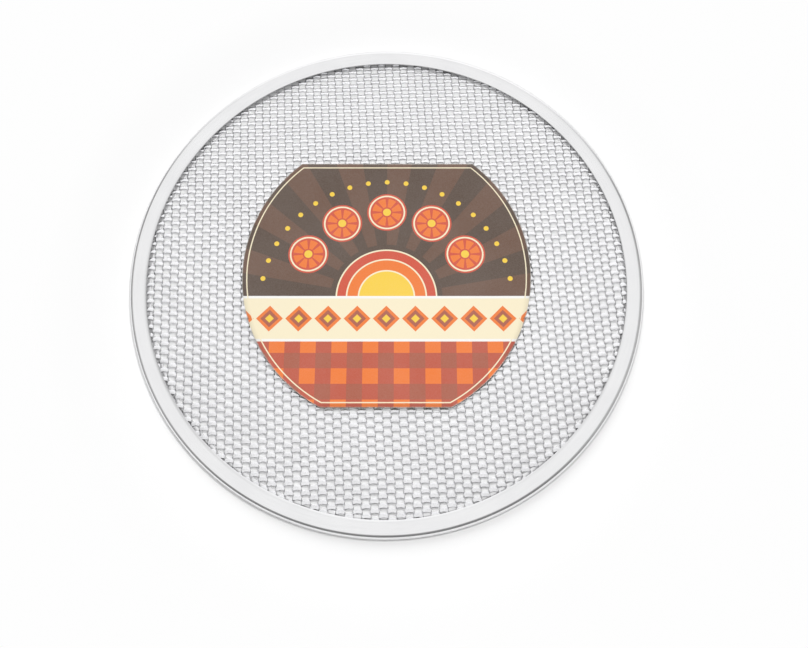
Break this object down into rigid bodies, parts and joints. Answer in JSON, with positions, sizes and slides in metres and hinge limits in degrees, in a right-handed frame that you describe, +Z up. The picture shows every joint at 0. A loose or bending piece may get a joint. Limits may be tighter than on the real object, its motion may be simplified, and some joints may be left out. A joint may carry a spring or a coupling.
{
  "type": "pizza screen",
  "caption": "Round flat pizza screen: a disc of expanded metal mesh held in a folded sheet-metal rim hoop, with a loose printed card lying on the mesh.",
  "frame": {"origin": "middle of the rim's underside, on the surface that the screen rests on", "axes": "+Z up through the screen, +X to the right and +Y away from the viewer in the picture"},
  "size_m": [0.305, 0.305, 0.0044],
  "materials": {
    "rim_metal": "satin rolled sheet",
    "mesh_metal": "bright slit and stretched sheet",
    "card_print": "printed card, slight gloss"
  },
  "bodies": {
    "screen": {"rim_hoop": "rim_metal", "mesh_disc": "mesh_metal"},
    "card": {"label_card": "card_print"}
  },
  "joints": [
    {"name": "card_lift", "type": "slide", "parent": "screen", "child": "card", "axis": [0, 0, 1], "range_m": [0, 0.1]}
  ]
}
